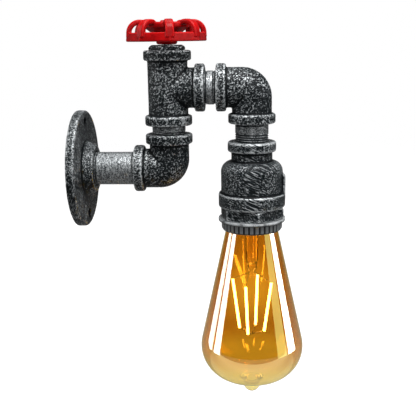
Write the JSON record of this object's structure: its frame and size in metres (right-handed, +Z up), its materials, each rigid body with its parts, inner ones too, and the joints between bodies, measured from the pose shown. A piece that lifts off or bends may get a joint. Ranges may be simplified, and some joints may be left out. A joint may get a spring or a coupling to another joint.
{
  "type": "industrial pipe wall light",
  "caption": "Wall light built of threaded pipe and cast fittings on a round flange, with a red valve handwheel and a pear-shaped filament lamp hanging below.",
  "frame": {"origin": "centre of the wall flange's back face, midway between its two screw holes", "axes": "+Z up along the vertical pipes, +X out of the wall, Y across the wall"},
  "size_m": [0.1858, 0.095, 0.3159],
  "materials": {
    "dark_iron": "rough cast iron, painted gunmetal and rubbed with silver on the high spots",
    "rubbed_pipe": "pipe painted gunmetal, rubbed to silver round its girth",
    "red_enamel": "gloss enamel",
    "plain_steel": "zinc plated",
    "packing": "graphite packing, matt",
    "plain_brass": "bright",
    "tinned_brass": "tinned, satin",
    "white_ceramic": "white porcelain",
    "black_moulding": "phenolic moulding",
    "black_ring": "satin black phenolic moulding",
    "brown_sleeve": "wire in brown sleeve",
    "blue_sleeve": "wire in blue sleeve",
    "cap_metal": "bright rolled sheet",
    "black_glass": "black insulating glass",
    "solder": "dull solder",
    "amber_glass": "thin amber glass",
    "clear_glass": "clear glass",
    "filament": "glowing phosphor coat"
  },
  "bodies": {
    "fixture": {"wall_flange": "dark_iron", "lower_elbow": "dark_iron", "pipe_tee": "dark_iron", "upper_elbow": "dark_iron", "reducer_socket": "dark_iron", "wall_nipple": "rubbed_pipe", "riser_nipple": "rubbed_pipe", "arm_nipple": "rubbed_pipe", "drop_nipple": "rubbed_pipe", "hexagon_bushing": "dark_iron", "bonnet": "dark_iron", "stem_packing": "packing", "gland_bush": "plain_brass", "earth_tag": "tinned_brass", "earth_screw": "plain_brass", "holder_body": "white_ceramic", "screw_shell": "tinned_brass", "centre_contact": "plain_brass", "live_terminal": "plain_brass", "neutral_terminal": "plain_brass", "terminal_screws": "plain_steel", "holder_cover": "black_moulding", "cover_screws": "plain_steel", "live_wire": "brown_sleeve", "neutral_wire": "blue_sleeve"},
    "handwheel": {"valve_stem": "plain_steel", "handwheel": "red_enamel", "wheel_washer": "plain_steel", "wheel_nut": "plain_steel"},
    "shade_ring": {"shade_ring": "black_ring"},
    "lamp_tip": {"tip_contact": "solder"},
    "lamp": {"bulb_cap": "cap_metal", "cap_insulator": "black_glass", "bulb_glass": "amber_glass", "glass_stem": "clear_glass", "led_filaments": "filament", "lead_wires": "plain_steel", "bridge_wire": "plain_steel"}
  },
  "joints": [
    {"name": "wheel_turn", "type": "hinge", "parent": "fixture", "child": "handwheel", "pos_m": [0.0753, 0, 0.1], "axis": [0, 0, 1], "continuous": true},
    {"name": "ring_turn", "type": "hinge", "parent": "fixture", "child": "shade_ring", "pos_m": [0.1423, 0, -0.041], "axis": [0, 0, -1], "range_deg": [0, 90]},
    {"name": "lamp_drop", "type": "slide", "parent": "fixture", "child": "lamp_tip", "axis": [0, 0, -1], "range_m": [0, 0.02187]},
    {"name": "lamp_turn", "type": "hinge", "parent": "lamp_tip", "child": "lamp", "pos_m": [0.1423, 0, -0.02], "axis": [0, 0, -1], "range_deg": [0, 2160]}
  ],
  "couplings": [
    {"joint": "lamp_drop", "follows": "lamp_turn", "m_per_rad": 0.00057757}
  ]
}
